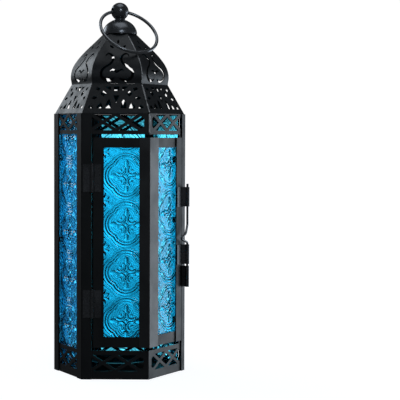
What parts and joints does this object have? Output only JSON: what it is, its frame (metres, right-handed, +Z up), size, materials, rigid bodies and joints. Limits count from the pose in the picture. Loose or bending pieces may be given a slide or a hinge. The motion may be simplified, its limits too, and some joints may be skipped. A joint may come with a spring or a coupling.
{
  "type": "candle lantern",
  "caption": "Hexagonal metal and glass candle lantern with a hinged two-sided door, slide bolt, pierced roof and hanging ring.",
  "frame": {"origin": "centre of the underside of the base", "axes": "+Z up the lantern's axis, -Y out of the front side, which is the hinge side of the door"},
  "size_m": [0.0929, 0.0807, 0.2513],
  "materials": {
    "black_paint": "satin",
    "black_wire": "semi-gloss",
    "steel": "plain",
    "blue_glass": "pressed relief"
  },
  "bodies": {
    "frame": {"base_plate": "black_paint", "bolt_keeper": "black_paint", "candle_cup": "black_paint", "crown_plate": "black_paint", "cup_rivets": "steel", "door_stop_strip": "black_paint", "finial_ball": "black_paint", "finial_cap": "black_paint", "finial_nut": "steel", "finial_stud": "steel", "lower_hinge_frame_leaf": "black_paint", "lower_hinge_pin": "steel", "lower_lattice_band": "black_paint", "pane_back": "blue_glass", "pane_clips": "black_paint", "pane_left_back": "blue_glass", "pane_left_front": "blue_glass", "pane_right_back": "blue_glass", "post_back_left": "black_paint", "post_back_right": "black_paint", "post_hinge_side": "black_paint", "post_latch_side": "black_paint", "post_left": "black_paint", "roof_dome_back": "black_paint", "roof_dome_front": "black_paint", "roof_dome_left_back": "black_paint", "roof_dome_left_front": "black_paint", "roof_dome_right_back": "black_paint", "roof_dome_right_front": "black_paint", "roof_skirt_back": "black_paint", "roof_skirt_front": "black_paint", "roof_skirt_left_back": "black_paint", "roof_skirt_left_front": "black_paint", "roof_skirt_right_back": "black_paint", "roof_skirt_right_front": "black_paint", "upper_hinge_frame_leaf": "black_paint", "upper_hinge_pin": "steel", "upper_lattice_band": "black_paint"},
    "door": {"door_bottom_rail_front": "black_paint", "door_bottom_rail_side": "black_paint", "door_corner_angle": "black_paint", "door_pane_clips": "black_paint", "door_pane_front": "blue_glass", "door_pane_side": "blue_glass", "door_stile_hinge_side": "black_paint", "door_stile_latch_side": "black_paint", "door_top_rail_front": "black_paint", "door_top_rail_side": "black_paint", "upper_hinge_door_leaf": "black_paint", "lower_hinge_door_leaf": "black_paint", "bolt_guide_upper": "black_paint", "bolt_guide_lower": "black_paint"},
    "bolt": {"slide_bolt": "black_wire"},
    "ring": {"hanging_ring": "black_wire"}
  },
  "joints": [
    {"name": "door_hinge", "type": "hinge", "parent": "frame", "child": "door", "pos_m": [-0.0152, -0.04035, 0.0917], "axis": [0, 0, -1], "range_deg": [0, 170]},
    {"name": "bolt_slide", "type": "slide", "parent": "door", "child": "bolt", "axis": [0, 0, 1], "range_m": [0, 0.012]},
    {"name": "ring_swing", "type": "hinge", "parent": "frame", "child": "ring", "pos_m": [0, 0, 0.2453], "axis": [-0.866, -0.5, 0], "range_deg": [0, 270]}
  ]
}
